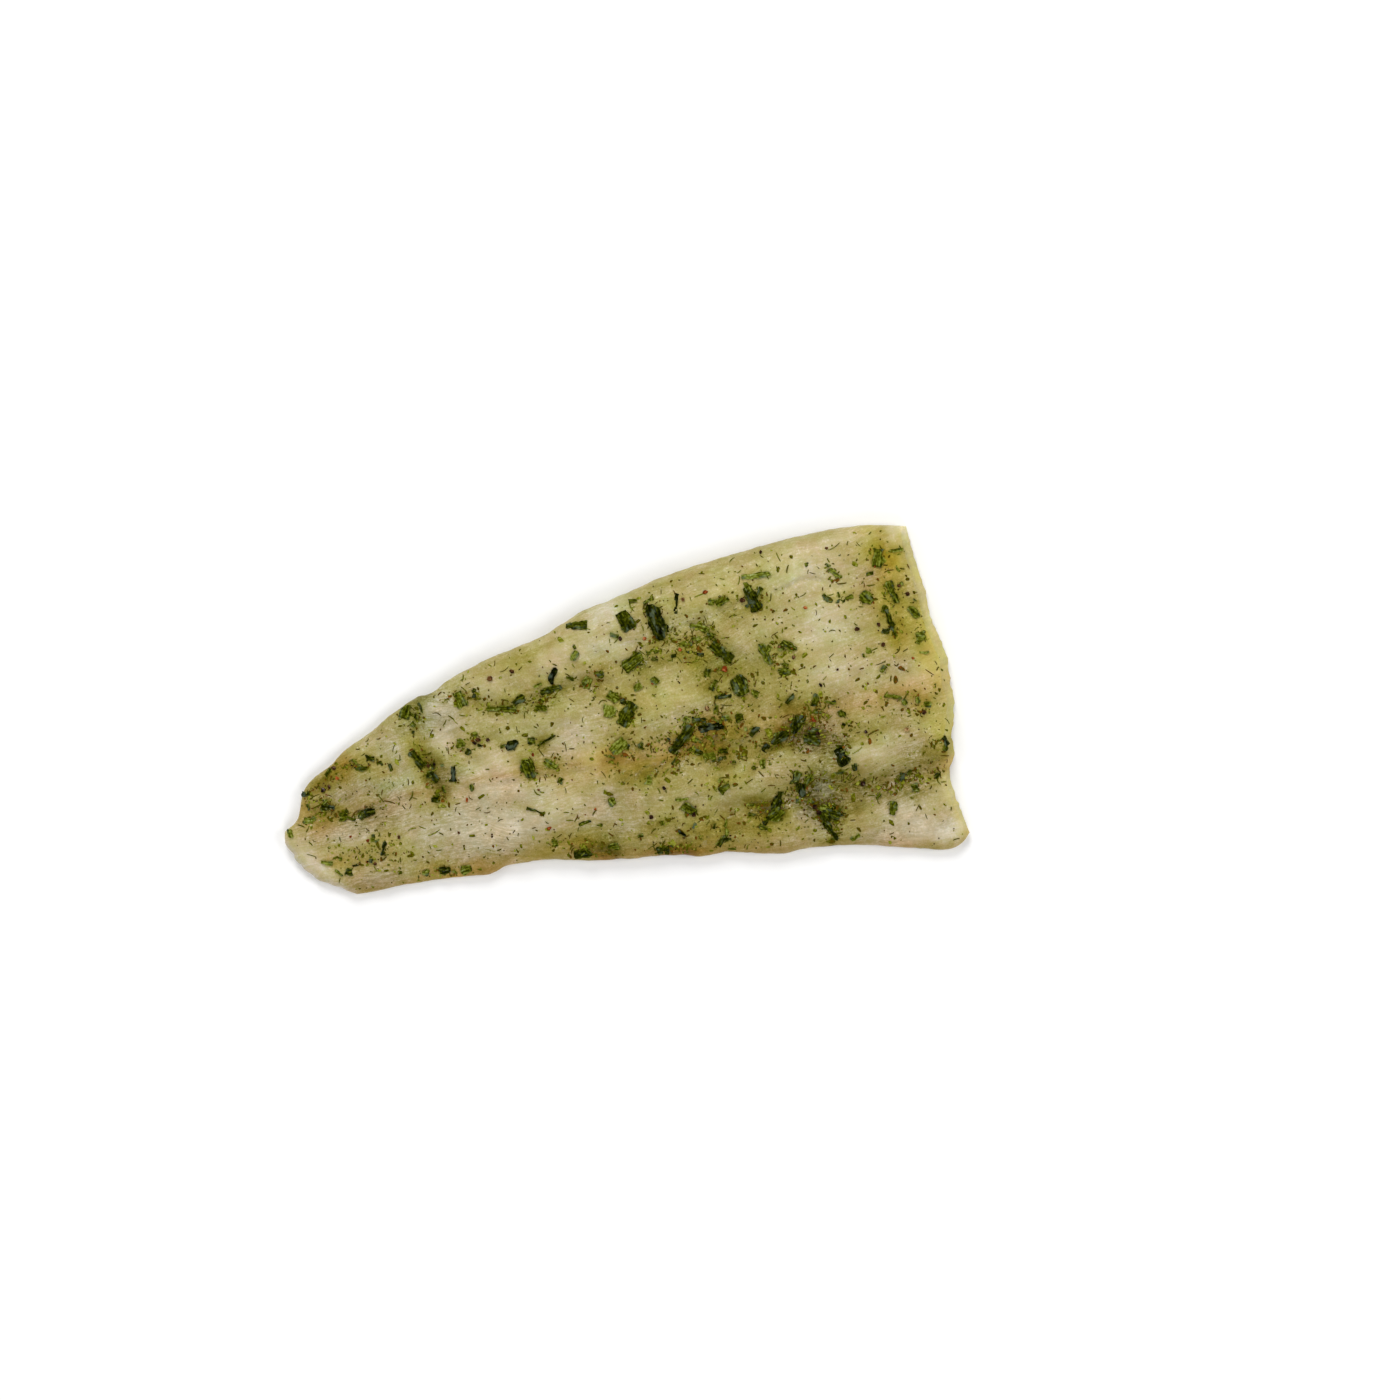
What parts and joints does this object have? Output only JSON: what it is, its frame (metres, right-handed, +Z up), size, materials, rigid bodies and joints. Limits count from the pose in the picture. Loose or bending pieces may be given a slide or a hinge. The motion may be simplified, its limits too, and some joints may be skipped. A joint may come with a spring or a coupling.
{
  "type": "seasoned cod fillet",
  "caption": "Raw cod fillet lying flat, tapering from a knife-cut wide end to the tail, its upper side covered with chopped herbs and cracked pepper.",
  "frame": {"origin": "on the surface the fillet lies on, under the middle of its outline", "axes": "+X along the fillet from the tail to the knife cut of the wide end, +Y to the back edge, +Z up, out of the seasoned side"},
  "size_m": [0.2516, 0.1254, 0.0151],
  "materials": {
    "flesh": "wet, translucent raw fish with an oily herb marinade",
    "herb": "oiled chopped parsley and dill",
    "pepper": "cracked black pepper"
  },
  "bodies": {
    "root": {"cod_fillet": "flesh"}
  },
  "joints": []
}
